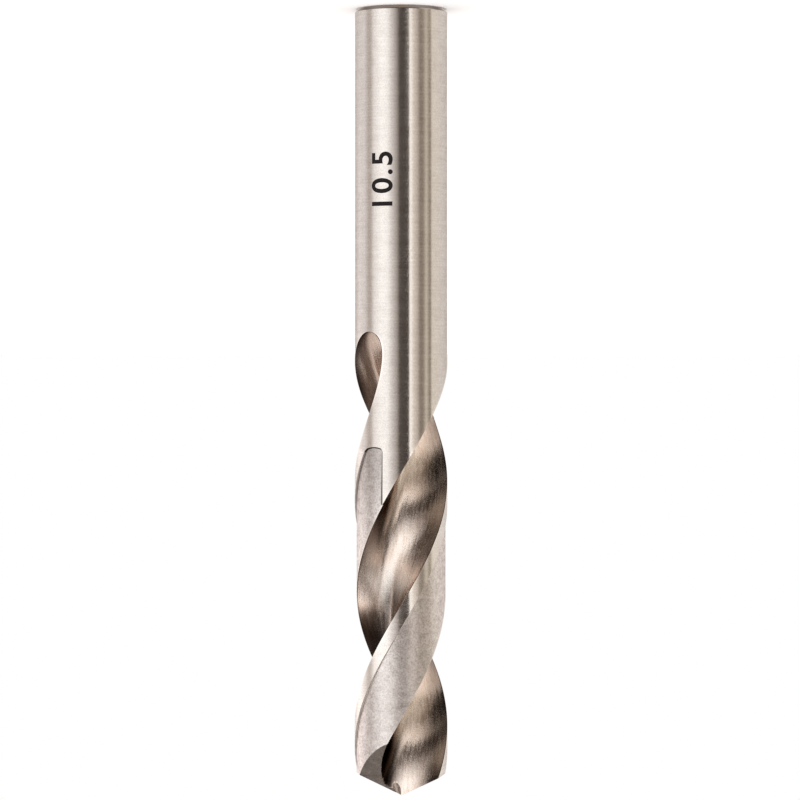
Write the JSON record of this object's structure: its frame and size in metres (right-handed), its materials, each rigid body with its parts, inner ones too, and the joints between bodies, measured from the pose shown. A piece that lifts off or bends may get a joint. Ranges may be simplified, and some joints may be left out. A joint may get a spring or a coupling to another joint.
{
  "type": "twist drill bit",
  "caption": "Short twist drill bit for metal with a plain round shank, two right-hand helical flutes with margins, and a split point.",
  "frame": {"origin": "centre of the shank's flat end face", "axes": "+Z along the drill's axis, from the shank end to the tip; -Y is the side that the picture shows"},
  "size_m": [0.0104, 0.0104, 0.089],
  "materials": {
    "ground_steel": "bright ground high-speed steel, with fine grinding marks along the flutes and round the shank",
    "mark_ink": "dark etched size mark on the shank"
  },
  "bodies": {
    "root": {"drill_bit": "ground_steel"}
  },
  "joints": []
}
